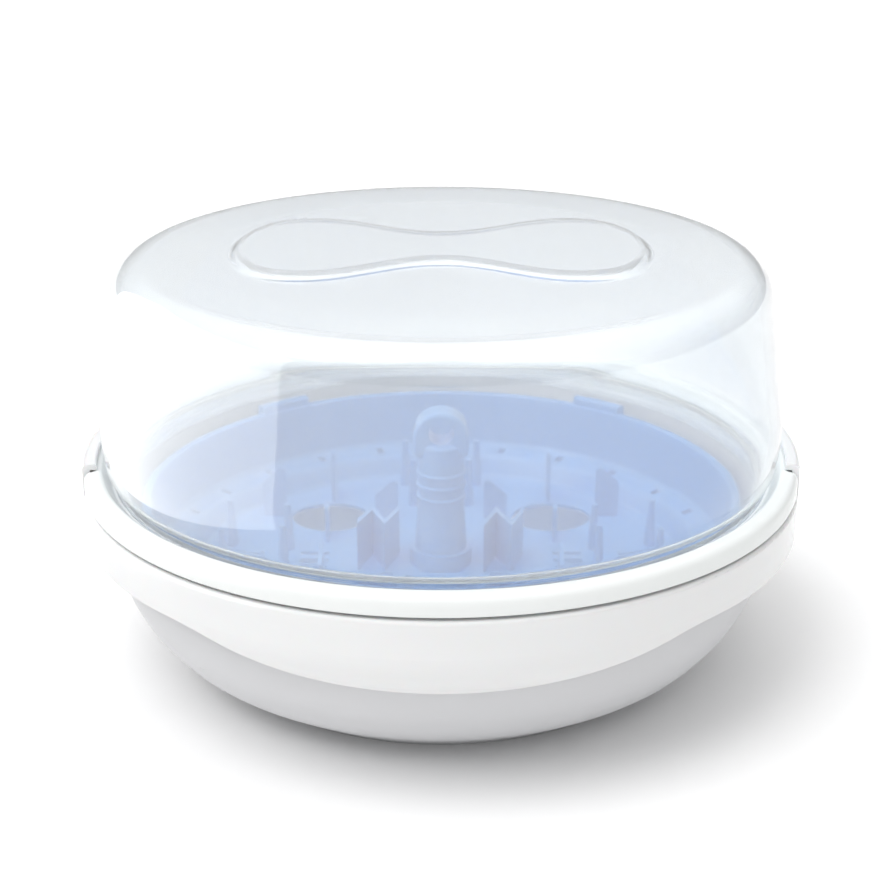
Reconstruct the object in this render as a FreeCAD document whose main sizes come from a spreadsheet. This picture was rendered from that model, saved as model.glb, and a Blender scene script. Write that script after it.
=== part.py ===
"""Microwave steam sterilizer for baby bottles: water bowl, cool-touch skirt, side clips, rack and dome lid.

Millimetres, +Z up. The origin is the centre of the foot ring, on the surface the object stands on.
The front is -Y, and the two clips are at +X and -X.
"""
import FreeCAD
import Part
import Sketcher
import math
import os

from FreeCAD import Vector

ORIGIN_GEOMETRY = -1
SHEET_NAME = "Sizes"

# Driving sizes: name, value in millimetres or degrees, what it is.
SIZES = [
    ("rim_radius", 140.0, "outside radius of skirt, clips and lid flange"),
    ("seam_height", 75.0, "height of the parting line between base and lid"),
    ("fit_gap", 0.3, "gap between pieces that are not fixed together"),
    # water bowl
    ("bowl_wall", 2.5, "wall of the bowl"),
    ("foot_inset", 40.3, "foot ring, measured inwards from the bowl's upright wall"),
    ("foot_width", 3.0, "width of the foot ring"),
    ("foot_rise", 1.6, "height of the bowl's underside inside the foot ring"),
    ("turn_inset", 15.1, "place where the lower wall turns steeper, inwards from the upright wall"),
    ("turn_height", 16.9, "height where the flat lower wall turns steeper"),
    ("step_inset", 9.3, "place of the fine step, measured inwards from the upright wall"),
    ("step_height", 26.2, "height of the fine step in the bowl's wall"),
    ("step_depth", 0.6, "depth of the fine step in the bowl's wall"),
    ("skirt_depth", 10.7, "bowl's upright wall, measured inwards from the rim radius"),
    ("waist_height", 42.3, "height where the wall turns upright"),
    ("wall_bend", 50.0, "bend radius of the bowl's wall"),
    ("rest_height", 30.0, "top of the ribs that the rack stands on"),
    ("rest_length", 4.3, "how far the ribs reach inwards past the rack's foot ring"),
    ("rest_thickness", 2.5, "thickness of a rib that the rack stands on"),
    # skirt
    ("skirt_wall", 2.4, "wall of the skirt"),
    ("skirt_top", 2.5, "thickness of the skirt's flat top"),
    ("skirt_overlap", 0.1, "how far the skirt's flat top reaches in over the bowl's wall"),
    ("skirt_side_drop", 16.0, "depth of the skirt at the clips"),
    ("visor_drop", 30.0, "depth of the skirt at the front and the back"),
    ("visor_tuck", 7.0, "how far the visor's lower edge curves inwards"),
    ("visor_bend", 21.0, "bend radius of the visor"),
    ("visor_sweep", 280.0, "radius of the visor's lower edge, seen from the front"),
    ("visor_half_width", 88.2, "half the width of the visor, seen from the front"),
    ("visor_blend", 60.0, "radius that leads the visor's edge into the level edge"),
    # clips and their hinges
    ("clip_half_width", 28.6, "half the width of a clip"),
    ("clip_wall", 2.85, "wall of a clip"),
    ("clip_side_gap", 0.6, "gap between a clip's end and the skirt"),
    ("recess_gap", 0.55, "gap between a clip's inside and the recess behind it"),
    ("clip_shell_drop", 20.4, "how far the clip's shell reaches below the seam"),
    ("hook_reach", 5.6, "how far the hook reaches inwards"),
    ("hook_thickness", 2.3, "thickness of the hook"),
    ("hinge_drop", 25.0, "hinge axis, measured down from the seam"),
    ("knuckle_radius", 3.2, "radius of the clip's hinge knuckle"),
    ("knuckle_half_width", 14.5, "half the width of the clip's hinge knuckle"),
    ("ear_gap", 0.5, "gap between knuckle and ear"),
    ("ear_thickness", 3.4, "thickness of a hinge ear"),
    ("pin_radius", 1.5, "radius of a hinge pin"),
    ("pin_clearance", 0.06, "radial running clearance of a hinge pin in its knuckle"),
    # lid
    ("lid_wall", 2.0, "wall of the lid"),
    ("lid_rise", 91.0, "height of the whole lid above the seam"),
    ("grip_rise", 2.4, "how far the grip stands above the crown"),
    ("flange_rise", 8.8, "height of the flange's rolled top above the seam"),
    ("neck_inset", 2.3, "pinched neck, measured inwards from the skirt's flat top"),
    ("groove_rise", 4.2, "height of the groove outside the neck above the seam"),
    ("bulge_width", 6.0, "how far the dome's widest corner stands out past the neck"),
    ("bulge_rise", 22.0, "height of the dome's widest corner above the seam"),
    ("shoulder_inset", 3.0, "dome's shoulder corner, measured inwards from the neck"),
    ("shoulder_bend", 13.0, "bend radius of the dome's shoulder"),
    ("crown_inset", 35.9, "edge of the level crown, measured inwards from the shoulder"),
    ("crown_bend", 500.0, "bend radius of the crown's edge"),
    ("side_bend", 60.0, "bend radius of the dome's widest corner"),
    ("spigot_gap", 1.2, "gap between the bowl and the ring that drops into it"),
    ("spigot_drop", 4.0, "how far that ring drops below the seam"),
    ("grip_half_length", 78.0, "half the length of the grip"),
    ("grip_lobe", 49.0, "half the depth of the grip's lobes, at their corner"),
    ("grip_lobe_place", 54.0, "place of the lobes along the grip"),
    ("grip_waist", 21.0, "half the depth of the grip's waist"),
    # rack
    ("rack_gap", 7.6, "gap between the rack's rim and the bowl"),
    ("rack_rim_drop", 8.0, "rack's rim, measured down from the seam"),
    ("rack_wall", 1.7, "wall of the rack"),
    ("rack_floor_rise", 3.0, "top of the rack's floor above the ribs it stands on"),
    ("ledge_width", 20.2, "edge of the rack's floor, measured inwards from its rim"),
    ("ledge_rise", 10.0, "top of the ledge round the floor, above the floor"),
    ("rack_foot_inset", 6.4, "ring that the rack stands on, measured inwards from its rim"),
    ("bottle_hole_radius", 17.0, "radius of a steam hole under a bottle"),
    ("bottle_place", 67.0, "distance of a bottle's centre from the middle"),
    ("fin_height", 26.0, "height of a fin beside a bottle"),
    ("fin_thickness", 1.8, "thickness of a fin"),
    ("zigzag_height", 22.0, "height of the zigzag ribs beside the post"),
    ("zigzag_slant", 2.8, "half the width of a zigzag rib, measured along Y"),
    ("prong_radius", 2.4, "radius of a teat prong at its foot"),
    ("prong_height", 22.0, "height of a teat prong"),
    ("post_radius", 9.0, "radius of the lifting post"),
    ("post_head_radius", 11.0, "radius of the post's arched head"),
    ("post_head_depth", 12.0, "depth of the post's head, front to back"),
    ("post_rise", 24.5, "top of the lifting post above the seam"),
    ("finger_hole_radius", 5.0, "radius of the hole in the post's head"),
]

# Sizes that follow from the driving ones, so that pieces that fit together stay together.
LINKED = {
    "waist_radius": "rim_radius - skirt_depth",
    "step_radius": "waist_radius - step_inset",
    "turn_radius": "waist_radius - turn_inset",
    "foot_radius": "waist_radius - foot_inset",
    "recess_radius": "rim_radius - clip_wall - recess_gap",
    "bowl_rim_radius": "recess_radius - skirt_wall - fit_gap",
    "skirt_inner_radius": "waist_radius - skirt_overlap",
    "hinge_radius": "waist_radius + knuckle_radius + fit_gap",
    "hinge_height": "seam_height - hinge_drop",
    "ear_radius": "knuckle_radius - fit_gap",
    "neck_radius": "skirt_inner_radius - neck_inset",
    "bulge_radius": "neck_radius + bulge_width",
    "shoulder_radius": "neck_radius - shoulder_inset",
    "crown_radius": "shoulder_radius - crown_inset",
    "spigot_radius": "waist_radius - bowl_wall - spigot_gap",
    "rack_radius": "waist_radius - bowl_wall - rack_gap",
    "rack_foot_radius": "rack_radius - rack_foot_inset",
    "rest_radius": "rack_foot_radius - rest_length",
    "rack_floor_radius": "rack_radius - ledge_width",
    "rack_floor_height": "rest_height + rack_floor_rise",
    "ledge_height": "rack_floor_height + ledge_rise",
    "post_top": "seam_height + post_rise",
}


def make_sheet(document):
    """Put the driving sizes in a spreadsheet, one row each, with an alias."""
    sheet = document.addObject("Spreadsheet::Sheet", SHEET_NAME)
    for row, (name, value, meaning) in enumerate(SIZES, start=1):
        cell = "B%d" % row
        sheet.set("A%d" % row, meaning)
        sheet.set(cell, str(value))
        sheet.setAlias(cell, name)
    document.recompute()
    return sheet


def number(words):
    """Work out a sum such as 'rim_radius - skirt_wall*2' from the driving and linked sizes."""
    values = dict((name, value) for name, value, meaning in SIZES)
    total = 0.0
    sign = 1.0
    for word in words.split():
        if word in ("+", "-"):
            sign = 1.0 if word == "+" else -1.0
            continue
        product = 1.0
        for factor in word.split("*"):
            if factor in LINKED:
                product *= number(LINKED[factor])
            else:
                product *= values[factor] if factor in values else float(factor)
        total += sign * product
    return total


def bound(words):
    """The same sum as an expression on the sheet's cells."""
    parts = []
    for word in words.split():
        factors = []
        for factor in word.split("*"):
            if factor in LINKED:
                factors.append("(" + bound(LINKED[factor]) + ")")
            else:
                factors.append(SHEET_NAME + "." + factor if factor[0].isalpha() else factor)
        parts.append("*".join(factors))
    return " ".join(parts)


# ---------------------------------------------------------------- sketch helpers

def new_body(document, label):
    body = document.addObject("PartDesign::Body", label)
    body.Label = label
    return body


def origin_feature(body, role):
    """One of the body's own planes or axes."""
    for feature in body.Origin.OriginFeatures:
        if feature.Role == role:
            return feature
    raise ValueError("the body has no " + role)


def new_sketch(body, name, role, height=None):
    """A sketch on one of the body's own planes, moved along its normal by a bound height."""
    sketch = body.newObject("Sketcher::SketchObject", name)
    sketch.AttachmentSupport = (origin_feature(body, role), [""])
    sketch.MapMode = "FlatFace"
    if height is not None:
        sketch.setExpression("AttachmentOffset.Base.z", bound(height))
    return sketch


def pin_point(sketch, geometry, place, across, up):
    """Fix a point of the sketch at the sums across and up, bound to the sheet."""
    for kind, words, axis in (("DistanceX", across, -2), ("DistanceY", up, -1)):
        value = number(words)
        if abs(value) < 1e-9:
            sketch.addConstraint(Sketcher.Constraint("PointOnObject", geometry, place, axis))
            continue
        index = sketch.addConstraint(
            Sketcher.Constraint(kind, ORIGIN_GEOMETRY, 1, geometry, place, value))
        sketch.setExpression("Constraints[%d]" % index, bound(words))


def corner_cut(before, corner, after, radius):
    """Tangent points and middle of the arc that rounds a corner."""
    back = (before - corner).normalize()
    ahead = (after - corner).normalize()
    half = back.getAngle(ahead) / 2.0
    reach = radius / math.tan(half)
    middle = (back + ahead).normalize()
    centre = corner + middle * (radius / math.sin(half))
    return corner + back * reach, centre - middle * radius, corner + ahead * reach


def rounded_outline(sketch, corners):
    """Draw a closed outline of straight runs, with a tangent arc at each rounded corner.

    A corner is (across, up) or (across, up, bend radius), each a sum of sheet sizes.
    """
    points = [Vector(number(corner[0]), number(corner[1]), 0) for corner in corners]
    count = len(corners)
    cuts = []
    for index, corner in enumerate(corners):
        if len(corner) < 3:
            cuts.append(None)
            continue
        before = Vector(points[index - 1])
        after = Vector(points[(index + 1) % count])
        cuts.append(corner_cut(before, Vector(points[index]), after, number(corner[2])))
    lines = []
    for index in range(count):
        following = (index + 1) % count
        start = cuts[index][2] if cuts[index] else points[index]
        end = cuts[following][0] if cuts[following] else points[following]
        lines.append(sketch.addGeometry(Part.LineSegment(start, end), False))
    for index, corner in enumerate(corners):
        into = lines[index - 1]
        out = lines[index]
        if cuts[index] is None:
            sketch.addConstraint(Sketcher.Constraint("Coincident", into, 2, out, 1))
            pin_point(sketch, out, 1, corner[0], corner[1])
            continue
        start, middle, end = cuts[index]
        turns_left = (points[index] - start).cross(end - points[index]).z > 0
        if turns_left:
            arc = sketch.addGeometry(Part.Arc(start, middle, end), False)
        else:
            arc = sketch.addGeometry(Part.Arc(end, middle, start), False)
        first, last = (1, 2) if turns_left else (2, 1)
        mark = sketch.addGeometry(Part.Point(points[index]), True)
        pin_point(sketch, mark, 1, corner[0], corner[1])
        sketch.addConstraint(Sketcher.Constraint("PointOnObject", mark, 1, into))
        sketch.addConstraint(Sketcher.Constraint("PointOnObject", mark, 1, out))
        sketch.addConstraint(Sketcher.Constraint("Tangent", into, 2, arc, first))
        sketch.addConstraint(Sketcher.Constraint("Tangent", arc, last, out, 1))
        radius = sketch.addConstraint(Sketcher.Constraint("Radius", arc, number(corner[2])))
        sketch.setExpression("Constraints[%d]" % radius, bound(corner[2]))


def circle(sketch, across, up, radius):
    """Draw a circle whose centre and radius are bound to the sheet."""
    centre = Vector(number(across), number(up), 0)
    index = sketch.addGeometry(Part.Circle(centre, Vector(0, 0, 1), number(radius)), False)
    pin_point(sketch, index, 3, across, up)
    size = sketch.addConstraint(Sketcher.Constraint("Radius", index, number(radius)))
    sketch.setExpression("Constraints[%d]" % size, bound(radius))


def box_outline(sketch, low_across, low_up, high_across, high_up):
    rounded_outline(sketch, [(low_across, low_up), (high_across, low_up),
                             (high_across, high_up), (low_across, high_up)])


# ---------------------------------------------------------------- feature helpers

def turned(body, name, sketch, angle=360.0, both_ways=False):
    """Add the sketch, turned about the vertical axis."""
    feature = body.newObject("PartDesign::Revolution", name)
    feature.Profile = sketch
    feature.ReferenceAxis = (sketch, ["V_Axis"])
    feature.Angle = angle
    feature.Midplane = both_ways
    return feature


def turned_cut(body, name, sketch):
    """Cut the sketch, turned all the way about the vertical axis."""
    feature = body.newObject("PartDesign::Groove", name)
    feature.Profile = sketch
    feature.ReferenceAxis = (sketch, ["V_Axis"])
    feature.Angle = 360.0
    return feature


def raised(body, name, sketch, length, both_ways=False, backwards=False):
    """Add the sketch, raised along its normal by a bound length."""
    feature = body.newObject("PartDesign::Pad", name)
    feature.Profile = sketch
    feature.Length = number(length)
    feature.setExpression("Length", bound(length))
    feature.Midplane = both_ways
    feature.Reversed = backwards
    return feature


def sunk(body, name, sketch, length, both_ways=False, upwards=False):
    """Cut the sketch along its normal by a bound length."""
    feature = body.newObject("PartDesign::Pocket", name)
    feature.Profile = sketch
    feature.Length = number(length)
    feature.setExpression("Length", bound(length))
    feature.Midplane = both_ways
    feature.Reversed = upwards
    return feature


def round_pattern(body, name, features, occurrences):
    """Repeat the features all the way round the body's vertical axis."""
    pattern = body.newObject("PartDesign::PolarPattern", name)
    pattern.Originals = features
    pattern.Axis = (origin_feature(body, "Z_Axis"), [""])
    pattern.Angle = 360.0
    pattern.Occurrences = occurrences
    body.Tip = pattern
    return pattern


def soften(body, name, radius, wanted):
    """Round the edges that the test picks out."""
    base = body.Tip
    names = []
    for index, edge in enumerate(base.Shape.Edges, start=1):
        if wanted(edge):
            names.append("Edge%d" % index)
    feature = body.newObject("PartDesign::Fillet", name)
    feature.Base = (base, names)
    feature.Radius = radius
    return feature


def is_head_edge(edge):
    """True for the outline edges of the post's flat head, front and back."""
    box = edge.BoundBox
    flat = box.YMax - box.YMin < 1e-3
    face = abs(abs(box.YMax) - number("post_head_depth") / 2.0) < 1e-3
    return flat and face


# ---------------------------------------------------------------- base

def make_base_bowl(document):
    """The water bowl: foot ring, wall in two bends with a fine step, rim flange and rack rests."""
    body = new_body(document, "base_bowl")
    section = new_sketch(body, "bowl_section", "XZ_Plane")
    flange_top = "seam_height - skirt_top"
    rounded_outline(section, [
        ("0", "foot_rise"),
        ("foot_radius - foot_width", "foot_rise"),
        ("foot_radius - foot_width", "0"),
        ("foot_radius", "0", "0.6"),
        ("foot_radius + 1.5", "1.6"),
        ("turn_radius", "turn_height", "wall_bend*0.8"),
        ("step_radius - step_depth*0.5", "step_height + step_depth*0.87"),
        ("step_radius + step_depth*0.5", "step_height + step_depth*0.29"),
        ("waist_radius", "waist_height", "wall_bend"),
        ("waist_radius", "seam_height - skirt_top - bowl_wall"),
        ("bowl_rim_radius", "seam_height - skirt_top - bowl_wall"),
        ("bowl_rim_radius", flange_top),
        ("waist_radius - bowl_wall", flange_top, "0.8"),
        ("waist_radius - bowl_wall", "waist_height + bowl_wall*0.27", "wall_bend - bowl_wall"),
        ("turn_radius - bowl_wall*0.73", "turn_height + bowl_wall*0.73",
         "wall_bend*0.8 - bowl_wall"),
        ("foot_radius - bowl_wall*0.1", "foot_rise + bowl_wall", "3"),
        ("0", "foot_rise + bowl_wall"),
    ])
    turned(body, "bowl_shell", section)
    rest = new_sketch(body, "rest_outline", "XZ_Plane")
    rounded_outline(rest, [
        ("rest_radius", "rest_height", "1"),
        ("step_radius + 2.4", "rest_height"),
        ("step_radius - 1.2", "step_height"),
        ("turn_radius - 0.8", "turn_height + 0.6"),
        ("rest_radius", "turn_height - 2.6"),
    ])
    rib = raised(body, "rest_rib", rest, "rest_thickness", both_ways=True)
    round_pattern(body, "rest_ribs", [rib], 8)
    return body


def make_base_skirt(document):
    """The cool-touch ring: flat top, curved visor front and back, clip recesses and hinge ears."""
    body = new_body(document, "base_skirt")
    section = new_sketch(body, "skirt_section", "XZ_Plane")
    bend_height = "seam_height - visor_drop + 8.5"
    rounded_outline(section, [
        ("skirt_inner_radius", "seam_height - skirt_top"),
        ("skirt_inner_radius", "seam_height", "0.6"),
        ("rim_radius", "seam_height", "1.6"),
        ("rim_radius", bend_height, "visor_bend"),
        ("rim_radius - visor_tuck", "seam_height - visor_drop"),
        ("rim_radius - visor_tuck - skirt_wall*0.77", "seam_height - visor_drop + skirt_wall*0.64"),
        ("rim_radius - skirt_wall", bend_height + " + skirt_wall*0.36", "visor_bend - skirt_wall"),
        ("rim_radius - skirt_wall", "seam_height - skirt_top"),
    ])
    turned(body, "skirt_shell", section)
    edge = new_sketch(body, "visor_edge", "XZ_Plane")
    side_edge = "seam_height - skirt_side_drop"
    rounded_outline(edge, [
        ("0 - rim_radius*1.1", side_edge),
        ("0 - visor_half_width", side_edge, "visor_blend"),
        ("0", "seam_height - visor_drop - visor_sweep*0.0403", "visor_sweep"),
        ("visor_half_width", side_edge, "visor_blend"),
        ("rim_radius*1.1", side_edge),
        ("rim_radius*1.1", "0"),
        ("0 - rim_radius*1.1", "0"),
    ])
    sunk(body, "visor_cut", edge, "rim_radius*2.4", both_ways=True)
    block = new_sketch(body, "recess_block", "XY_Plane", "seam_height - skirt_side_drop")
    ring_piece(block, "recess_radius - skirt_wall", "rim_radius - 1",
               "clip_half_width + clip_side_gap + skirt_wall")
    cheek = raised(body, "recess_walls", block, "skirt_side_drop - 1")
    round_pattern(body, "recess_walls_both", [cheek], 2)
    space = new_sketch(body, "recess_space", "XY_Plane")
    ring_piece(space, "recess_radius", "rim_radius + 8", "clip_half_width + clip_side_gap")
    recess = sunk(body, "clip_recess", space, "seam_height*1.2", upwards=True)
    round_pattern(body, "clip_recesses", [recess], 2)
    ear = new_sketch(body, "ear_outline", "XZ_Plane")
    strap_top = "seam_height - skirt_top - bowl_wall - fit_gap"
    rounded_outline(ear, [
        ("hinge_radius - ear_radius", "hinge_height - ear_radius", "ear_radius*0.99"),
        ("hinge_radius + ear_radius", "hinge_height - ear_radius", "ear_radius*0.99"),
        ("hinge_radius + ear_radius", "hinge_height + ear_radius", "1"),
        ("recess_radius - skirt_wall + 0.6", "hinge_height + ear_radius", "0.4"),
        ("recess_radius - skirt_wall + 0.6", strap_top),
        ("hinge_radius - ear_radius", strap_top),
    ])
    circle(ear, "hinge_radius", "hinge_height", "pin_radius")
    outer_face = "knuckle_half_width*2 + ear_gap*2 + ear_thickness*2"
    ears = raised(body, "ear_pair", ear, outer_face, both_ways=True)
    slot = new_sketch(body, "knuckle_space", "XZ_Plane")
    box_outline(slot, "hinge_radius - ear_radius - 1", "hinge_height - ear_radius - 2",
                "rim_radius", "seam_height - skirt_side_drop")
    cut = sunk(body, "knuckle_slot", slot, "knuckle_half_width*2 + ear_gap*2", both_ways=True)
    round_pattern(body, "ears_both", [ears, cut], 2)
    return body


def ring_piece(sketch, inner, outer, half_width):
    """Outline of a piece of ring about the +X axis: two arcs on the origin and two straight ends."""
    half = number(half_width)
    arcs = []
    ends = []
    for words in (inner, outer):
        size = number(words)
        across = math.sqrt(size ** 2 - half ** 2)
        low = Vector(across, -half, 0)
        high = Vector(across, half, 0)
        arc = sketch.addGeometry(Part.Arc(low, Vector(size, 0, 0), high), False)
        radius = sketch.addConstraint(Sketcher.Constraint("Radius", arc, size))
        sketch.setExpression("Constraints[%d]" % radius, bound(words))
        sketch.addConstraint(Sketcher.Constraint("Coincident", arc, 3, ORIGIN_GEOMETRY, 1))
        arcs.append(arc)
        ends.append((low, high))
    for place, corner in ((1, 0), (2, 1)):
        line = sketch.addGeometry(Part.LineSegment(ends[0][corner], ends[1][corner]), False)
        sketch.addConstraint(Sketcher.Constraint("Coincident", arcs[0], place, line, 1))
        sketch.addConstraint(Sketcher.Constraint("Coincident", arcs[1], place, line, 2))
        sketch.addConstraint(Sketcher.Constraint("Horizontal", line))
        up = -half if corner == 0 else half
        height = sketch.addConstraint(
            Sketcher.Constraint("DistanceY", ORIGIN_GEOMETRY, 1, line, 1, up))
        sign = "-1 * (%s)" if corner == 0 else "%s"
        sketch.setExpression("Constraints[%d]" % height, sign % bound(half_width))


# ---------------------------------------------------------------- clips

def make_clip(document, label, turn):
    """A closing clip: curved shell flush with the skirt, hook over the lid, knuckle on the pin."""
    body = new_body(document, label)
    shell = new_sketch(body, label + "_section", "XZ_Plane")
    hook_under = "seam_height + flange_rise + fit_gap"
    shell_end = "seam_height - clip_shell_drop"
    rounded_outline(shell, [
        ("rim_radius - hook_reach", hook_under, "0.4"),
        ("rim_radius - hook_reach", hook_under + " + hook_thickness", "1.1"),
        ("rim_radius", hook_under + " + hook_thickness", "2.2"),
        ("rim_radius", "seam_height - 15", "15"),
        ("rim_radius - 1.3", shell_end),
        ("rim_radius - clip_wall - 1.15", shell_end),
        ("rim_radius - clip_wall", "seam_height - 15", "12"),
        ("rim_radius - clip_wall", hook_under),
    ])
    angle = 2.0 * math.degrees(math.asin(number("clip_half_width") / number("rim_radius")))
    turned(body, label + "_shell", shell, angle, both_ways=True)
    web = new_sketch(body, label + "_web", "XZ_Plane")
    rounded_outline(web, [
        ("rim_radius - 1.6", shell_end + " + 2"),
        ("rim_radius - 2.4", "hinge_height + 0.5", "5"),
        ("hinge_radius + 1.8", "hinge_height - knuckle_radius", "2.4"),
        ("hinge_radius - knuckle_radius", "hinge_height - knuckle_radius", "knuckle_radius*0.99"),
        ("hinge_radius - knuckle_radius", "hinge_height + knuckle_radius", "knuckle_radius*0.99"),
        ("rim_radius - clip_wall - 0.9", "hinge_height + knuckle_radius", "1.2"),
        ("rim_radius - clip_wall - 0.4", shell_end + " + 2"),
    ])
    circle(web, "hinge_radius", "hinge_height", "pin_radius + pin_clearance")
    raised(body, label + "_knuckle", web, "knuckle_half_width*2", both_ways=True)
    body.Placement = FreeCAD.Placement(Vector(0, 0, 0), FreeCAD.Rotation(Vector(0, 0, 1), turn))
    return body


def make_clip_pin(document, label, side):
    """A hinge pin, held in the skirt's two ears."""
    pin = document.addObject("Part::Cylinder", label)
    pin.Label = label
    half_length = "knuckle_half_width + ear_gap + ear_thickness"
    pin.setExpression("Radius", bound("pin_radius"))
    pin.setExpression("Height", "2 * (" + bound(half_length) + ")")
    pin.Placement.Rotation = FreeCAD.Rotation(Vector(1, 0, 0), -90)
    pin.setExpression("Placement.Base.x", "%d * (%s)" % (side, bound("hinge_radius")))
    pin.setExpression("Placement.Base.y", "-1 * (" + bound(half_length) + ")")
    pin.setExpression("Placement.Base.z", bound("hinge_height"))
    return pin


# ---------------------------------------------------------------- lid

def grip_corners(inset):
    """Corners of the bone-shaped grip, drawn in by a wall thickness."""
    end = "grip_half_length - " + inset
    lobe = "grip_lobe - " + inset
    waist = "grip_waist - " + inset
    right = [
        (end, "0 - 26", "26"), (end, "26", "26"),
        ("grip_lobe_place", lobe, "22"), ("18", waist, "40"),
        ("0 - 18", waist, "40"), ("0 - grip_lobe_place", lobe, "22"),
    ]
    left = []
    for across, up, bend in right:
        left.append((flipped(across), flipped(up), bend))
    return right + left


def flipped(words):
    """The same sum with the other sign."""
    if words.startswith("0 - "):
        return words[4:]
    signs = {"+": "-", "-": "+"}
    return "0 - " + " ".join(signs.get(word, word) for word in words.split())


def make_lid(document):
    """The dome: rolled hollow flange, spigot ring, pinched neck, crown and raised grip."""
    body = new_body(document, "lid")
    crown = "seam_height + lid_rise - grip_rise"
    groove = "seam_height + groove_rise"
    flange = "seam_height + flange_rise"
    section = new_sketch(body, "lid_section", "XZ_Plane")
    rounded_outline(section, [
        ("0", crown),
        ("crown_radius", crown, "crown_bend"),
        ("shoulder_radius", crown + " - 0.7", "shoulder_bend"),
        ("bulge_radius", "seam_height + bulge_rise", "side_bend"),
        ("neck_radius + 4", groove + " + 5.8", "4"),
        ("neck_radius", groove + " + 3", "2.4"),
        ("neck_radius", groove, "0.8"),
        ("neck_radius + 2.3", groove, "1.5"),
        ("neck_radius + 6.3", flange, "3"),
        ("rim_radius - fit_gap", flange, "3.6"),
        ("rim_radius - fit_gap", "seam_height + fit_gap*4"),
        ("rim_radius - fit_gap - lid_wall", "seam_height + fit_gap*4"),
        ("rim_radius - fit_gap - lid_wall", flange + " - lid_wall*1.1", "0.8"),
        ("neck_radius + 6.7", flange + " - lid_wall*1.1", "0.8"),
        ("neck_radius + 6.7", "seam_height + fit_gap"),
        ("neck_radius + 2.3", "seam_height + fit_gap"),
        ("neck_radius + 2.3", groove + " - lid_wall"),
        ("spigot_radius", groove + " - lid_wall"),
        ("spigot_radius", "seam_height - spigot_drop"),
        ("spigot_radius - lid_wall", "seam_height - spigot_drop"),
        ("spigot_radius - lid_wall", groove + " - 0.4"),
        ("neck_radius - lid_wall", groove + " + 0.8"),
        ("neck_radius - lid_wall", groove + " + 4", "2.4 + lid_wall"),
        ("neck_radius + 2.2", groove + " + 7", "2.6"),
        ("bulge_radius - lid_wall", "seam_height + bulge_rise + 0.3", "side_bend - lid_wall"),
        ("shoulder_radius - lid_wall*1.05", crown + " - 0.7 - lid_wall", "shoulder_bend - lid_wall"),
        ("crown_radius", crown + " - lid_wall", "crown_bend"),
        ("0", crown + " - lid_wall"),
    ])
    turned(body, "lid_shell", section)
    document.recompute()
    plateau = new_sketch(body, "grip_outline", "XY_Plane", crown + " - lid_wall")
    rounded_outline(plateau, grip_corners("0"))
    raised(body, "grip_plateau", plateau, "lid_wall + grip_rise")
    document.recompute()
    hollow = new_sketch(body, "grip_hollow_outline", "XY_Plane", crown + " - lid_wall - 1")
    rounded_outline(hollow, grip_corners("lid_wall"))
    sunk(body, "grip_hollow", hollow, "grip_rise + 1", upwards=True)
    document.recompute()
    soften(body, "grip_softened", 1.1, is_grip_edge)
    document.recompute()
    notch = new_sketch(body, "lip_notch_outline", "XY_Plane", "seam_height - 1")
    ring_piece(notch, "recess_radius", "rim_radius + 8", "clip_half_width + clip_side_gap")
    cut = sunk(body, "lip_notch", notch, "flange_rise + 4", upwards=True)
    round_pattern(body, "lip_notches", [cut], 2)
    return body


def is_grip_edge(edge):
    """True for the edges at the top and at the foot of the grip's wall."""
    box = edge.BoundBox
    reach = number("grip_half_length") + 2
    top = number("seam_height + lid_rise")
    crown = number("seam_height + lid_rise - grip_rise")
    level = box.ZMax - box.ZMin < 1e-3
    outside = abs(box.ZMax - top) < 1e-3 or abs(box.ZMax - crown) < 1e-3
    return level and outside and box.XMax < reach and box.XMin > -reach


# ---------------------------------------------------------------- rack

def make_rack(document):
    """The blue tray: stepped floor, rim with lugs, foot ring, steam holes, fins and prongs."""
    body = new_body(document, "rack")
    rim = "seam_height - rack_rim_drop"
    section = new_sketch(body, "rack_section", "XZ_Plane")
    rounded_outline(section, [
        ("0", "rack_floor_height - rack_wall"),
        ("rack_floor_radius + rack_wall*0.8", "rack_floor_height - rack_wall", "4"),
        ("rack_floor_radius + 5.5", "ledge_height - rack_wall*1.6", "3"),
        ("rack_radius - 4.9", "ledge_height - 1", "3 + rack_wall"),
        ("rack_radius - 1.9", rim + " - 2.2"),
        ("rack_radius", rim + " - 2.2", "0.6"),
        ("rack_radius", rim, "0.8"),
        ("rack_radius - 1.9 - rack_wall", rim, "0.8"),
        ("rack_radius - 4.9 - rack_wall", "ledge_height + 0.6", "3"),
        ("rack_floor_radius + 4.4", "ledge_height - rack_wall*0.7", "3 + rack_wall"),
        ("rack_floor_radius", "rack_floor_height", "3"),
        ("0", "rack_floor_height"),
    ])
    turned(body, "tray", section)
    foot = new_sketch(body, "rack_foot_section", "XZ_Plane")
    box_outline(foot, "rack_foot_radius - 1.8", "rest_height + fit_gap",
                "rack_foot_radius", "ledge_height - 0.9")
    turned(body, "foot_ring", foot)
    document.recompute()
    add_lugs(body, rim)
    add_holes(body)
    add_fins(body)
    return body


def add_lugs(body, rim):
    """Four lugs on the rim, each side of the front and the back."""
    lugs = []
    for name, turn in (("lug_one", 53.0), ("lug_two", 127.0)):
        outline = new_sketch(body, name + "_section", "XZ_Plane")
        spin = FreeCAD.Rotation(Vector(0, 1, 0), turn)
        outline.AttachmentOffset = FreeCAD.Placement(Vector(0, 0, 0), spin)
        rounded_outline(outline, [
            ("rack_radius - 3.2", rim + " - 1"),
            ("rack_radius + 1.6", rim + " - 1", "0.8"),
            ("rack_radius + 1.6", rim + " + 3.5", "1.4"),
            ("rack_radius - 3.2", rim + " + 3.5", "1.2"),
        ])
        lugs.append(turned(body, name, outline, 11.6, both_ways=True))
    round_pattern(body, "lugs", lugs, 2)


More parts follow.
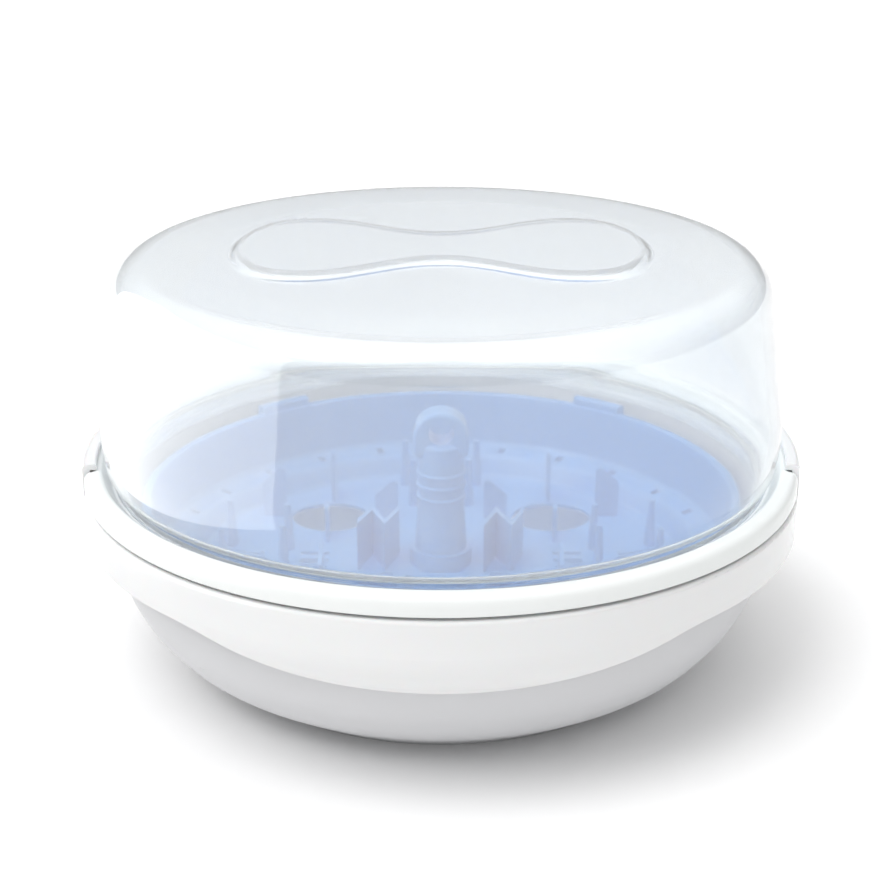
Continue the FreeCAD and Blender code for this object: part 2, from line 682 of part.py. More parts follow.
def add_holes(body):
    """Steam holes: one under each bottle, slots between the bottles and slots in the ledge."""
    hole = new_sketch(body, "bottle_hole", "XY_Plane", "rack_floor_height + 1")
    circle(hole, "bottle_place*0.7071", "bottle_place*0.7071", "bottle_hole_radius")
    cut = sunk(body, "bottle_steam_hole", hole, "rack_wall + 3")
    round_pattern(body, "bottle_steam_holes", [cut], 4)
    slots = new_sketch(body, "floor_slot_outlines", "XY_Plane", "rack_floor_height + 1")
    for low, high in (("0 - 8.4", "0 - 5.4"), ("0 - 1.5", "1.5"), ("5.4", "8.4")):
        box_outline(slots, "bottle_place - 21", low, "bottle_place - 9", high)
        box_outline(slots, "bottle_place + 6", low, "bottle_place + 24", high)
    cut = sunk(body, "floor_slots", slots, "rack_wall + 3")
    round_pattern(body, "floor_slots_all", [cut], 4)
    ledge = new_sketch(body, "ledge_slot_outline", "XY_Plane", "ledge_height + 2")
    box_outline(ledge, "rack_floor_radius + 6.6", "0 - 1.6", "rack_floor_radius + 11.2", "1.6")
    cut = sunk(body, "ledge_slot", ledge, "rack_wall + 6")
    round_pattern(body, "ledge_slots", [cut], 24)


def slanted_fin(sketch, near, far, height):
    """Outline of an upright fin whose top slants down away from the bottle it holds."""
    rounded_outline(sketch, [
        (near, "rack_floor_height - rack_wall*0.5"),
        (far, "rack_floor_height - rack_wall*0.5"),
        (far, "rack_floor_height + " + height + " - 9", "2"),
        (near, "rack_floor_height + " + height, "2"),
    ])


def add_fins(body):
    """Upright fins round each bottle, zigzag ribs beside the post, and prongs for teats."""
    place = "bottle_place*0.7071"
    for name, role, side in (("fins_across", "XZ_Plane", "0 - "), ("fins_along", "YZ_Plane", "")):
        fins = new_sketch(body, name + "_outline", role, side + place)
        slanted_fin(fins, place + " + bottle_hole_radius + 2", place + " + bottle_hole_radius + 12",
                    "fin_height")
        slanted_fin(fins, place + " - bottle_hole_radius - 12",
                    place + " - bottle_hole_radius - 2", "fin_height - 6")
        plates = raised(body, name, fins, "fin_thickness", both_ways=True)
        round_pattern(body, name + "_all", [plates], 4)
    zigzag = new_sketch(body, "zigzag_outline", "XY_Plane", "rack_floor_height - rack_wall*0.5")
    places = [("17", "0 - 9"), ("22.5", "7"), ("28", "0 - 9"), ("33.5", "7")]
    forward = [(across, up + " - zigzag_slant") for across, up in places]
    backward = [(across, up + " + zigzag_slant") for across, up in reversed(places)]
    rounded_outline(zigzag, forward + backward)
    rib = raised(body, "zigzag_rib", zigzag, "zigzag_height")
    round_pattern(body, "zigzag_ribs", [rib], 2)
    prongs = new_sketch(body, "prong_outlines", "XY_Plane", "rack_floor_height - rack_wall*0.5")
    for across, up in (("bottle_place - 4", "12"), ("bottle_place - 4", "0 - 12"),
                       ("bottle_place + 20", "16"), ("bottle_place + 20", "0 - 16")):
        circle(prongs, across, up, "prong_radius")
    pegs = raised(body, "prongs", prongs, "prong_height")
    pegs.TaperAngle = -3.0
    round_pattern(body, "prongs_all", [pegs], 4)
    socket = new_sketch(body, "post_socket_section", "XZ_Plane")
    box_outline(socket, "post_radius + 1.4", "rack_floor_height - rack_wall*0.5",
                "post_radius + 3.4", "rack_floor_height + 7")
    turned(body, "post_socket", socket)


def make_rack_post(document):
    """The lifting post: hollow column with grip ridges and an arched head with a finger hole."""
    body = new_body(document, "rack_post")
    side = "post_head_radius"
    head = new_sketch(body, "head_outline", "XZ_Plane")
    rounded_outline(head, [
        ("0 - " + side, "post_top - post_head_radius*1.7", "3"),
        (side, "post_top - post_head_radius*1.7", "3"),
        (side, "post_top", "post_head_radius*0.98"),
        ("0 - " + side, "post_top", "post_head_radius*0.98"),
    ])
    raised(body, "head", head, "post_head_depth", both_ways=True)
    document.recompute()
    soften(body, "head_softened", 1.6, is_head_edge)
    document.recompute()
    neck = "post_top - post_head_radius*1.2"
    ridge = "seam_height - 13"
    column = new_sketch(body, "post_section", "XZ_Plane")
    corners = [
        ("0", "rack_floor_height"),
        ("post_radius + 1.4", "rack_floor_height"),
        ("post_radius + 1.4", "rack_floor_height + 7.5", "1.2"),
    ]
    for step in range(3):
        low = ridge + " + %d" % (step * 5)
        corners += [
            ("post_radius + 0.2", low), ("post_radius + 1", low + " + 0.5", "0.3"),
            ("post_radius + 1", low + " + 1.9", "0.3"), ("post_radius + 0.2", low + " + 2.4"),
        ]
    corners += [("post_radius", neck, "2"), ("0", neck)]
    rounded_outline(column, corners)
    turned(body, "column", column)
    hole = new_sketch(body, "finger_hole_outline", "XZ_Plane")
    circle(hole, "0", "post_top - finger_hole_radius - 3", "finger_hole_radius")
    sunk(body, "finger_hole", hole, "post_head_depth*3", both_ways=True)
    bore = new_sketch(body, "post_hollow_section", "XZ_Plane")
    box_outline(bore, "0", "rack_floor_height - 1", "post_radius - 2", "post_top - post_head_radius*2")
    turned_cut(body, "post_hollow", bore)
    return body


def main():
    document = FreeCAD.newDocument("bottle_sterilizer")
    make_sheet(document)
    pieces = [
        make_base_bowl(document),
        make_base_skirt(document),
        make_clip(document, "clip_right", 0.0),
        make_clip(document, "clip_left", 180.0),
        make_clip_pin(document, "clip_pin_right", 1),
        make_clip_pin(document, "clip_pin_left", -1),
        make_lid(document),
        make_rack(document),
        make_rack_post(document),
    ]
    document.recompute()
    for item in document.Objects:
        if "Invalid" in item.State or "Error" in item.State:
            raise RuntimeError("%s failed: %s" % (item.Name, item.State))
    os.makedirs("parts", exist_ok=True)
    for piece in pieces:
        shape = piece.Shape
        if shape.isNull() or not shape.isValid():
            raise RuntimeError(piece.Label + " has no valid shape")
        print(piece.Label, "solids", len(shape.Solids), "volume", round(shape.Volume))
        shape.exportStep(os.path.join("parts", piece.Label + ".step"))


main()
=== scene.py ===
# %% [markdown]
# # A microwave steam sterilizer for baby bottles
# The object is a round plastic pot with a clear dome: a white water bowl, a white skirt round its rim,
# a blue rack that carries the bottles, a milky clear lid, and two clips that hold the lid down.
# The CAD frame gives every place and size. Here it is loaded, and each piece then gets its looks.

# %% Load the frame
import bpy
import bmesh
import math
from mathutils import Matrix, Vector


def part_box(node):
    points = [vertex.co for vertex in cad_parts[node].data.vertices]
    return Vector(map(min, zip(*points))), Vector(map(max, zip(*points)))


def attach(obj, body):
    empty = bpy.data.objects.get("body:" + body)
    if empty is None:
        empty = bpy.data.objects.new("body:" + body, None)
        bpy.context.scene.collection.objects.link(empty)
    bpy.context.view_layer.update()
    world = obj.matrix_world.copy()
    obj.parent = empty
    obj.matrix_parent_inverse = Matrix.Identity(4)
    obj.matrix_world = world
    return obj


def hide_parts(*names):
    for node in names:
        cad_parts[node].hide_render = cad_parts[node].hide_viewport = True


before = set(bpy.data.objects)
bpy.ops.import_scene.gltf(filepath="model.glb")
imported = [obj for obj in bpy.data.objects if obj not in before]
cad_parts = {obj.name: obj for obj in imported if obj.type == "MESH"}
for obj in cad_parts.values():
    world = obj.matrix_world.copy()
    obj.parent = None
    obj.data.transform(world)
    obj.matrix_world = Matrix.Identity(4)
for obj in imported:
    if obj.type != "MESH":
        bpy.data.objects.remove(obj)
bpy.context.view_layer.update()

# %% [markdown]
# ## Measures
# The main measures come from the frame, in metres. The lid's heights are counted from the parting line
# between base and lid, because that is how a mould maker draws them.

# %% Measures from the frame
MM = 0.001
FIT_GAP = 0.3 * MM
scene = bpy.context.scene
skirt_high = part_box("base_skirt")[1]
SEAM = skirt_high.z
RIM = skirt_high.y
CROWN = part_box("lid")[1].z
print("rim radius", round(RIM, 4), "seam height", round(SEAM, 4), "crown height", round(CROWN, 4))

# %% [markdown]
# ## A section with rounded corners
# The lid is round, so it is drawn as a section and carried round the axis. Its corners could be bevelled
# once it is turned, but a mould's corners are arcs in its section. So each corner is given with its
# radius here, and becomes an arc before anything is turned.

# %% Rounded section
def rounded(corners, steps):
    """Points of a closed outline, where a corner (across, up, bend) becomes an arc of that radius."""
    points = []
    count = len(corners)
    for index, corner in enumerate(corners):
        here = Vector(corner[:2])
        if len(corner) < 3:
            points.append(here)
            continue
        back = (Vector(corners[index - 1][:2]) - here).normalized()
        ahead = (Vector(corners[(index + 1) % count][:2]) - here).normalized()
        half = back.angle(ahead) / 2
        centre = here + (back + ahead).normalized() * (corner[2] / math.sin(half))
        start = here + back * (corner[2] / math.tan(half)) - centre
        end = here + ahead * (corner[2] / math.tan(half)) - centre
        for step in range(steps + 1):
            share = step / steps
            points.append(centre + corner[2] * start.slerp(end, share))
    return points

# %% [markdown]
# ## Turning a section
# A plain spin would do for a perfect ring. The lid's grip swells out of its crown and its ring steps back
# behind the clips, so the section is asked for again at every angle. The faces are smoothed afterwards,
# and only real corners stay crisp.

# %% Loft helpers
CREASE_ANGLE = math.radians(50)
WELD_DISTANCE = 1e-6


def round_angles(count, extra=()):
    """Evenly spaced angles round the axis, with extra ones where the section changes quickly."""
    angles = [2 * math.pi * step / count for step in range(count)] + list(extra)
    return sorted(set(round(angle % (2 * math.pi), 6) for angle in angles))


def loft_round(mesh, section, angles):
    """Carry section(angle), a closed outline of (radius, height) points, round the vertical axis."""
    rings = []
    for angle in angles:
        turn = (math.cos(angle), math.sin(angle))
        rings.append([mesh.verts.new((radius * turn[0], radius * turn[1], height))
                      for radius, height in section(angle)])
    for index, ring in enumerate(rings):
        following = rings[(index + 1) % len(rings)]
        for step in range(len(ring)):
            onward = (step + 1) % len(ring)
            mesh.faces.new((ring[step], following[step], following[onward], ring[onward]))


def finish_mesh(name, mesh):
    """Turn a bmesh into an object with smooth faces and crisp edges."""
    bmesh.ops.remove_doubles(mesh, verts=mesh.verts, dist=WELD_DISTANCE)
    bmesh.ops.recalc_face_normals(mesh, faces=mesh.faces)
    for face in mesh.faces:
        face.smooth = True
    for edge in mesh.edges:
        if len(edge.link_faces) == 2 and edge.calc_face_angle() > CREASE_ANGLE:
            edge.smooth = False
    data = bpy.data.meshes.new(name)
    mesh.to_mesh(data)
    mesh.free()
    piece = bpy.data.objects.new(name, data)
    scene.collection.objects.link(piece)
    print(name, "has", len(data.polygons), "faces")
    return piece

# %% [markdown]
# ## The skin of moulded plastic
# Moulded plastic is never a perfect mirror: its skin has a very fine orange peel, and its gloss drifts a
# little where the melt cooled unevenly. Every plastic here shares that, so it is one node group with
# its own inputs, placed in each material with other values. It puts out a roughness, a height for the
# bump and a tint mask, and nothing that depends on the camera.

# %% Node group: moulded skin
def new_group(name, inputs, outputs):
    """A shader node group with named sockets, and its input and output nodes."""
    group = bpy.data.node_groups.new(name, "ShaderNodeTree")
    for label, value in inputs:
        socket = group.interface.new_socket(label, in_out="INPUT", socket_type="NodeSocketFloat")
        socket.default_value = value
    for label in outputs:
        group.interface.new_socket(label, in_out="OUTPUT", socket_type="NodeSocketFloat")
    return group, group.nodes.new("NodeGroupInput"), group.nodes.new("NodeGroupOutput")


def math_node(tree, operation, first, second):
    """The output of a sum on two values, each a number or another node's output."""
    node = tree.nodes.new("ShaderNodeMath")
    node.operation = operation
    for socket, value in zip(node.inputs, (first, second)):
        if isinstance(value, (int, float)):
            socket.default_value = value
        else:
            tree.links.new(value, socket)
    return node.outputs[0]


def object_noise(tree, scale, detail, coordinates):
    """Soft noise fixed to the object, whose scale is a number or another node's output."""
    noise = tree.nodes.new("ShaderNodeTexNoise")
    noise.inputs["Detail"].default_value = detail
    noise.inputs["Roughness"].default_value = 0.55
    tree.links.new(coordinates, noise.inputs["Vector"])
    if isinstance(scale, (int, float)):
        noise.inputs["Scale"].default_value = scale
    else:
        tree.links.new(scale, noise.inputs["Scale"])
    return noise.outputs["Fac"]


DRIFT_SCALE = 14.0


def make_moulded_skin():
    """The shared group: an uneven gloss, a fine grain over an orange peel, and the drift as a mask."""
    group, given, result = new_group(
        "moulded_skin",
        [("Gloss Roughness", 0.2), ("Gloss Drift", 0.05), ("Grain Scale", 900.0),
         ("Grain Share", 0.5), ("Peel Scale", 120.0)],
        ["Roughness", "Height", "Drift Mask"])
    place = group.nodes.new("ShaderNodeTexCoord").outputs["Object"]
    drift = object_noise(group, DRIFT_SCALE, 3.0, place)
    grain = object_noise(group, given.outputs["Grain Scale"], 2.0, place)
    peel = object_noise(group, given.outputs["Peel Scale"], 2.0, place)
    centred = math_node(group, "SUBTRACT", drift, 0.5)
    change = math_node(group, "MULTIPLY", centred, given.outputs["Gloss Drift"])
    doubled = math_node(group, "MULTIPLY", change, 2.0)
    rough = math_node(group, "ADD", given.outputs["Gloss Roughness"], doubled)
    fine = math_node(group, "MULTIPLY", grain, given.outputs["Grain Share"])
    height = math_node(group, "ADD", fine, peel)
    group.links.new(rough, result.inputs["Roughness"])
    group.links.new(height, result.inputs["Height"])
    group.links.new(drift, result.inputs["Drift Mask"])
    return group


MOULDED_SKIN = make_moulded_skin()
print("group", MOULDED_SKIN.name, "ready")

# %% [markdown]
# ## The plastics
# Four plastics make the object: glossy white for the skirt and clips, satin white for the bowl whose
# greyer tint is painted shade, translucent blue for the rack and milky clear for the lid.
# The two that let light through have a second way for lamp light, so that what is inside stays lit
# without waiting for light to find its way through the curved walls.

# %% Plastic helpers
PLASTIC_IOR = 1.49


def plastic(name, colour, drift_colour, roughness, bump, grain_share=0.5, grain_scale=900.0):
    """A moulded plastic: tint that drifts slightly, uneven gloss and a fine skin."""
    material = bpy.data.materials.new(name)
    material.use_nodes = True
    tree = material.node_tree
    shader = tree.nodes["Principled BSDF"]
    skin = tree.nodes.new("ShaderNodeGroup")
    skin.node_tree = MOULDED_SKIN
    skin.inputs["Gloss Roughness"].default_value = roughness
    skin.inputs["Gloss Drift"].default_value = roughness * 0.25
    skin.inputs["Grain Share"].default_value = grain_share
    skin.inputs["Grain Scale"].default_value = grain_scale
    tint = tree.nodes.new("ShaderNodeMix")
    tint.data_type = "RGBA"
    tint.inputs["A"].default_value = colour + (1.0,)
    tint.inputs["B"].default_value = drift_colour + (1.0,)
    tree.links.new(skin.outputs["Drift Mask"], tint.inputs["Factor"])
    tree.links.new(tint.outputs["Result"], shader.inputs["Base Color"])
    tree.links.new(skin.outputs["Roughness"], shader.inputs["Roughness"])
    relief = tree.nodes.new("ShaderNodeBump")
    relief.inputs["Strength"].default_value = 0.25
    relief.inputs["Distance"].default_value = bump
    tree.links.new(skin.outputs["Height"], relief.inputs["Height"])
    tree.links.new(relief.outputs["Normal"], shader.inputs["Normal"])
    shader.inputs["IOR"].default_value = PLASTIC_IOR
    return material, tree, shader


def lets_lamps_through(tree, shader, tint):
    """Mix in a clear way for shadow rays, so that lamps light what lies behind the wall."""
    clear = tree.nodes.new("ShaderNodeBsdfTransparent")
    clear.inputs["Color"].default_value = tint + (1.0,)
    path = tree.nodes.new("ShaderNodeLightPath")
    mix = tree.nodes.new("ShaderNodeMixShader")
    tree.links.new(path.outputs["Is Shadow Ray"], mix.inputs["Fac"])
    tree.links.new(shader.outputs["BSDF"], mix.inputs[1])
    tree.links.new(clear.outputs["BSDF"], mix.inputs[2])
    tree.links.new(mix.outputs["Shader"], tree.nodes["Material Output"].inputs["Surface"])


def wear(piece, material):
    """Give every material slot of a piece this material."""
    piece.data.materials.clear()
    piece.data.materials.append(material)

# %% [markdown]
# ## The plastics' own values
# The bowl's satin comes from a textured mould, so its grain is finer and stronger than the others'.
# The lid is one moulding, but its rolled flange is seen edge-on through so much plastic that it looks
# nearly opaque. A volume could darken it, and would be slow and noisy, so the flange has a denser
# plastic of its own.

# %% The five plastics
GLOSS_WHITE, tree, shader = plastic(
    "gloss_white_plastic", (0.83, 0.83, 0.83), (0.80, 0.805, 0.81), 0.16, 0.00004)
shader.inputs["Coat Weight"].default_value = 0.15
shader.inputs["Subsurface Weight"].default_value = 0.08
shader.inputs["Subsurface Scale"].default_value = 0.004

# Painted shade: this satin white is a greyer white than the skirt's, standing in for the shade that the
# bowl sits in under the skirt's overhang; its satin gloss and grain are real.
SHADED_SATIN_WHITE, tree, shader = plastic(
    "satin_white_plastic_with_painted_shade", (0.68, 0.68, 0.695), (0.65, 0.655, 0.67), 0.42, 0.00006,
    grain_share=1.0, grain_scale=1500.0)

BLUE, tree, shader = plastic(
    "translucent_blue_plastic", (0.15, 0.38, 0.73), (0.125, 0.35, 0.71), 0.22, 0.00004)
shader.inputs["Transmission Weight"].default_value = 0.3
lets_lamps_through(tree, shader, (0.45, 0.62, 0.88))

MILKY_CLEAR, tree, shader = plastic(
    "milky_clear_plastic", (0.97, 0.985, 0.99), (0.95, 0.975, 0.985), 0.05, 0.00001)
shader.inputs["Transmission Weight"].default_value = 0.79
lets_lamps_through(tree, shader, (0.95, 0.96, 0.97))

THICK_CLEAR, tree, shader = plastic(
    "milky_clear_thick_plastic", (0.95, 0.965, 0.96), (0.93, 0.96, 0.95), 0.10, 0.00001)
shader.inputs["Transmission Weight"].default_value = 0.12
lets_lamps_through(tree, shader, (0.10, 0.10, 0.10))
print("plastics:", [m.name for m in (GLOSS_WHITE, SHADED_SATIN_WHITE, BLUE, MILKY_CLEAR, THICK_CLEAR)])

# %% [markdown]
# ## The lid's section
# The real lid is one clear moulding, 2 mm thick: a ring that drops into the bowl, a hollow rolled flange,
# a pinched neck, a slightly bulging wall and a nearly flat crown. The frame's lid has that build too, but
# its grip is plain, so the lid is drawn again here at the same size, with fits counted from the seam.

# %% Lid section
LID_WALL = 2.0 * MM
GRIP_RISE = 2.4 * MM
ARC_STEPS = 7
CROWN_BASE = CROWN - GRIP_RISE
CROWN_EDGE = 88 * MM
CROWN_MIDDLE = 40 * MM
NECK = RIM - 13.1 * MM
GROOVE = SEAM + 4.2 * MM
FLANGE = SEAM + 8.8 * MM
LIP = RIM - FIT_GAP
LAND = NECK + 6.7 * MM


def lid_outline():
    """The lid's section, up the outside to the crown's middle and down the inside."""
    shoulder = RIM - 16.1 * MM
    bulge = RIM - 7.1 * MM
    spigot = RIM - 14.4 * MM
    spigot_foot = SEAM - 4 * MM
    ring_inside = NECK + 2.3 * MM
    flange_inside = FLANGE - 2.2 * MM
    lip_foot = SEAM + 1.2 * MM
    crown_inside = CROWN_BASE - LID_WALL
    dropped_ring = [
        (spigot - LID_WALL, spigot_foot, 0.6 * MM), (spigot, spigot_foot, 0.6 * MM),
        (spigot, GROOVE - LID_WALL), (ring_inside, GROOVE - LID_WALL),
        (ring_inside, SEAM + FIT_GAP), (LAND, SEAM + FIT_GAP)]
    rolled_flange = [
        (LAND, flange_inside, 0.8 * MM), (LIP - LID_WALL, flange_inside, 0.8 * MM),
        (LIP - LID_WALL, lip_foot, 0.5 * MM), (LIP, lip_foot, 0.7 * MM),
        (LIP, FLANGE, 3.6 * MM), (NECK + 6.3 * MM, FLANGE, 3.0 * MM)]
    pinched_neck = [
        (ring_inside, GROOVE, 1.5 * MM), (NECK, GROOVE, 0.8 * MM),
        (NECK, GROOVE + 3 * MM, 2.4 * MM), (NECK + 4 * MM, GROOVE + 5.8 * MM, 4 * MM)]
    wall_and_crown = [
        (bulge, SEAM + 22 * MM, 60 * MM), (shoulder, CROWN_BASE - 0.7 * MM, 13 * MM),
        (CROWN_EDGE, CROWN_BASE, 480 * MM), (CROWN_MIDDLE, CROWN_BASE), (0, CROWN_BASE)]
    down_the_inside = [
        (0, crown_inside), (CROWN_MIDDLE, crown_inside), (CROWN_EDGE, crown_inside, 480 * MM),
        (shoulder - LID_WALL, CROWN_BASE - 0.7 * MM - LID_WALL, 11 * MM),
        (bulge - LID_WALL, SEAM + 22.3 * MM, 58 * MM),
        (NECK + 2.2 * MM, GROOVE + 7 * MM, 2.6 * MM),
        (NECK - LID_WALL, GROOVE + 4 * MM, 4.4 * MM), (NECK - LID_WALL, GROOVE + 0.8 * MM),
        (spigot - LID_WALL, GROOVE - 0.4 * MM)]
    corners = dropped_ring + rolled_flange + pinched_neck + wall_and_crown + down_the_inside
    return rounded(corners, ARC_STEPS)


print("lid section has", len(lid_outline()), "points")

# %% [markdown]
# ## The grip
# The crown carries a bone-shaped grip. It could be cut as a sharp plateau, but the real one swells softly
# out of the crown. So two formulas give the bone's outline, a cosine swing from the waist to the lobes
# and a rounded end, and a smooth step lifts whatever lies inside it.

# %% Grip
GRIP_HALF_LENGTH = 78 * MM
GRIP_LOBE_PLACE = 50 * MM
GRIP_LOBE = 43 * MM
GRIP_WAIST = 21 * MM
GRIP_SOFT_EDGE = 3.6 * MM


def grip_field(x, y):
    """Positive inside the bone's outline and negative outside: its half depth squared, less Y squared."""
    reach = abs(x)
    if reach < GRIP_LOBE_PLACE:
        swing = 0.5 - 0.5 * math.cos(math.pi * reach / GRIP_LOBE_PLACE)
        return (GRIP_WAIST + (GRIP_LOBE - GRIP_WAIST) * swing) ** 2 - y * y
    share = (reach - GRIP_LOBE_PLACE) / (GRIP_HALF_LENGTH - GRIP_LOBE_PLACE)
    return GRIP_LOBE ** 2 * (1.0 - share ** 2.6) - y * y


def grip_lift(x, y):
    """How much of the grip's rise a point of the crown gets: 1 on the bone, 0 away from it."""
    step = 0.05 * MM
    here = grip_field(x, y)
    slope = math.hypot(grip_field(x + step, y) - here, grip_field(x, y + step) - here) / step
    inside = here / max(slope, 1e-4)
    share = min(max(inside / GRIP_SOFT_EDGE + 0.5, 0.0), 1.0)
    return share * share * (3 - 2 * share)


print("grip rises", GRIP_RISE, "m at the middle, times", grip_lift(0.0, 0.0))

# %% [markdown]
# ## Turning the lid
# The outline gets more points, so that the crown is a fine grid for the grip to lift. Behind each clip the
# flange steps back to leave the clip room. A cut with a block would do that too, but pulling the section
# in keeps the wall's thickness, and extra angles at the clip's two edges make the step sharp.

# %% Turn the lid
CLIP_HALF_WIDTH = 29.2 * MM
RECESS_RADIUS = RIM - 3.4 * MM
GRID_STEP = 1.6 * MM
GRIP_ZONE = 84 * MM
LID_ANGLES = 400
EDGE_SHIFT = 0.0012
THICK_TOP = FLANGE + 1 * MM
THICK_INSIDE = NECK + 1.5 * MM


def subdivide_run(points, longest):
    """Add points on runs longer than this, so that the crown is a fine grid."""
    result = []
    for index, point in enumerate(points):
        following = points[(index + 1) % len(points)]
        pieces = max(1, math.ceil((following - point).length / longest))
        for step in range(pieces):
            result.append(point.lerp(following, step / pieces))
    return result


def in_clip_sector(angle, reach):
    """True where a clip covers the ring, at the +X and -X sides."""
    return abs(reach * math.sin(angle)) < CLIP_HALF_WIDTH


def make_lid():
    """The lid, turned from its section, with clear plastic and a denser one on its flange."""
    outline = subdivide_run(lid_outline(), GRID_STEP)
    edge = math.asin(CLIP_HALF_WIDTH / RIM)
    extra = [base + sign * (edge + shift) for base in (0.0, math.pi)
             for sign in (1, -1) for shift in (-EDGE_SHIFT, EDGE_SHIFT)]
    crown_zone = CROWN_BASE - LID_WALL - FIT_GAP

    def section(angle):
        points = []
        behind_clip = in_clip_sector(angle, RIM)
        for across, up in outline:
            if behind_clip and across > LAND:
                across = LAND + (across - LAND) * (RECESS_RADIUS - LAND) / (LIP - LAND)
            if up > crown_zone and across < GRIP_ZONE:
                up += GRIP_RISE * grip_lift(across * math.cos(angle), across * math.sin(angle))
            points.append((across, up))
        return points

    mesh = bmesh.new()
    loft_round(mesh, section, round_angles(LID_ANGLES, extra))
    lid = finish_mesh("lid_moulding", mesh)
    wear(lid, MILKY_CLEAR)
    lid.data.materials.append(THICK_CLEAR)
    for polygon in lid.data.polygons:
        middle = polygon.center
        if middle.z < THICK_TOP and math.hypot(middle.x, middle.y) > THICK_INSIDE:
            polygon.material_index = 1
    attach(lid, "lid")
    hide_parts("lid")


make_lid()

# %% [markdown]
# ## Rack, post and base pieces carried over
# The frame's own solids for these already have their real shape, so they stay and get their plastic.

# %% Materials on the frame's own pieces
# The bowl and the pins wear the satin white whose greyer tint is painted shade.
for node, material in (("base_bowl", SHADED_SATIN_WHITE), ("base_skirt", GLOSS_WHITE),
                       ("clip_left", GLOSS_WHITE), ("clip_right", GLOSS_WHITE),
                       ("clip_pin_left", SHADED_SATIN_WHITE), ("clip_pin_right", SHADED_SATIN_WHITE),
                       ("rack", BLUE), ("rack_post", BLUE)):
    wear(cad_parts[node], material)
    print(node, "wears", material.name)

# %% [markdown]
# ## The floor
# The object stands on a white sheet in a product studio. The sheet is flat and wide: a sheet that curves
# up behind would do as well, but the sky below is as white as the floor, so its far edge doesn't show.

# %% Floor
FLOOR_REACH = 6.0
FLOOR_CELLS = 60


def make_floor():
    """A wide white paper sheet, which belongs to the studio and not to the object."""
    mesh = bmesh.new()
    bmesh.ops.create_grid(mesh, x_segments=FLOOR_CELLS, y_segments=FLOOR_CELLS, size=FLOOR_REACH)
    floor = finish_mesh("studio_floor", mesh)
    material = bpy.data.materials.new("white_sweep")
    material.use_nodes = True
    tree = material.node_tree
    shader = tree.nodes["Principled BSDF"]
    paper = object_noise(tree, 30.0, 2.0, tree.nodes.new("ShaderNodeTexCoord").outputs["Object"])
    tint = tree.nodes.new("ShaderNodeMix")
    tint.data_type = "RGBA"
    tint.inputs["A"].default_value = (0.93, 0.93, 0.93, 1.0)
    tint.inputs["B"].default_value = (0.95, 0.95, 0.95, 1.0)
    tree.links.new(paper, tint.inputs["Factor"])
    tree.links.new(tint.outputs["Result"], shader.inputs["Base Color"])
    shader.inputs["Roughness"].default_value = 0.8
    wear(floor, material)


make_floor()

# %% [markdown]
# ## Light from the room
# The room is bright overhead, dimmer at the walls and dimmest at the two sides, which lets the white
# pieces turn grey towards their edges. Lamps all round could do that, and would each leave a shape in the
# glossy plastic, so the room is one smooth gradient. The standard view keeps white white.

# %% Sky
SKY_TOP = 1.20
SKY_WALL = 0.40
SKY_SIDE_LOSS = 0.30


def make_sky():
    """Studio light from all round: bright overhead, dimmer walls, dimmest at the two sides.

    Seen directly, beyond the end of the floor, the walls are as white as the floor.
    """
    world = bpy.data.worlds.new("studio")
    scene.world = world
    world.use_nodes = True
    tree = world.node_tree
    direction = tree.nodes.new("ShaderNodeTexCoord").outputs["Generated"]
    parts = tree.nodes.new("ShaderNodeSeparateXYZ")
    tree.links.new(direction, parts.inputs["Vector"])
    up = math_node(tree, "MAXIMUM", parts.outputs["Z"], 0.0)
    overhead = math_node(tree, "MULTIPLY", math_node(tree, "POWER", up, 2.0), SKY_TOP)
    sideways = math_node(tree, "MULTIPLY", parts.outputs["X"], parts.outputs["X"])
    walls = math_node(tree, "MULTIPLY", sideways, -SKY_SIDE_LOSS)
    walls = math_node(tree, "ADD", walls, SKY_WALL)
    strength = math_node(tree, "ADD", overhead, walls)
    path = tree.nodes.new("ShaderNodeLightPath")
    strength = math_node(tree, "MAXIMUM", strength, path.outputs["Is Camera Ray"])
    background = tree.nodes["Background"]
    background.inputs["Color"].default_value = (1.0, 1.0, 1.0, 1.0)
    tree.links.new(strength, background.inputs["Strength"])


scene.view_settings.view_transform = "Standard"
make_sky()
print("world:", scene.world.name)

# %% [markdown]
# ## Lamps
# A broad sun from the front left casts the soft shadow, and stays out of the gloss. One weak soft box
# stands close at the left, only to leave its straight-edged shine in the dome, so it lights nothing
# that is matt.

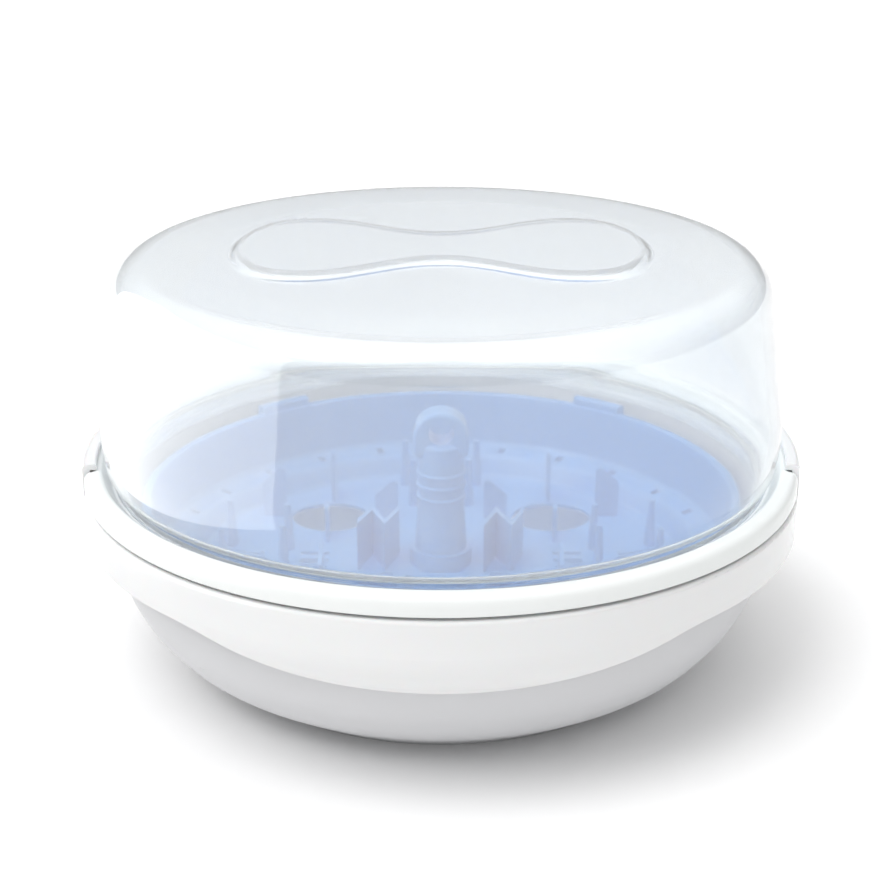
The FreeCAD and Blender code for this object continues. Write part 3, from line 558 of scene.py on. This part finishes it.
# %% Lamps
KEY_STRENGTH = 1.35
KEY_SOFTNESS = math.radians(40)
KEY_DIRECTION = Vector((0.50, 0.34, -1.0))
SIDE_BOX_PLACE = Vector((-0.26, -0.06, 0.16))
SIDE_BOX_TARGET = Vector((0, -0.06, 0.16))
SIDE_BOX_POWER = 0.8


def aim(lamp, direction):
    """Turn a lamp so that it shines along a direction."""
    lamp.rotation_euler = direction.to_track_quat("-Z", "Y").to_euler()


key = bpy.data.objects.new("key_light", bpy.data.lights.new("key_light", "SUN"))
key.data.energy = KEY_STRENGTH
key.data.angle = KEY_SOFTNESS
key.visible_glossy = False
aim(key, KEY_DIRECTION)
scene.collection.objects.link(key)

side_box = bpy.data.objects.new("soft_box_left", bpy.data.lights.new("soft_box_left", "AREA"))
side_box.data.shape = "RECTANGLE"
side_box.data.size = 0.42
side_box.data.size_y = 0.32
side_box.data.energy = SIDE_BOX_POWER
side_box.location = SIDE_BOX_PLACE
side_box.visible_diffuse = False
aim(side_box, SIDE_BOX_TARGET - SIDE_BOX_PLACE)
scene.collection.objects.link(side_box)

# %% [markdown]
# ## Camera
# The camera stands straight in front and looks down by about twenty degrees, at a point a little above
# the seam. A longer lens from further away would flatten the rim's ellipse.

# %% Camera
CAMERA_LENS = 72.0
CAMERA_SENSOR = 36.0
CAMERA_RISE = math.radians(20.5)
CAMERA_REACH = 0.700
CAMERA_AIM = Vector((0, 0, SEAM + 10.6 * MM))
from_front = Vector((0, -math.cos(CAMERA_RISE), math.sin(CAMERA_RISE)))
camera_data = bpy.data.cameras.new("camera")
camera_data.lens = CAMERA_LENS
camera_data.sensor_width = CAMERA_SENSOR
camera_data.clip_start = 0.01
camera = bpy.data.objects.new("camera", camera_data)
scene.collection.objects.link(camera)
camera.location = CAMERA_AIM + CAMERA_REACH * from_front
camera.rotation_euler = (CAMERA_AIM - camera.location).to_track_quat("-Z", "Y").to_euler()
scene.camera = camera
print("camera at", [round(value, 4) for value in camera.location])

# %% [markdown]
# ## Finish
# The scene is brought up to date.

# %% Finish
bpy.context.view_layer.update()
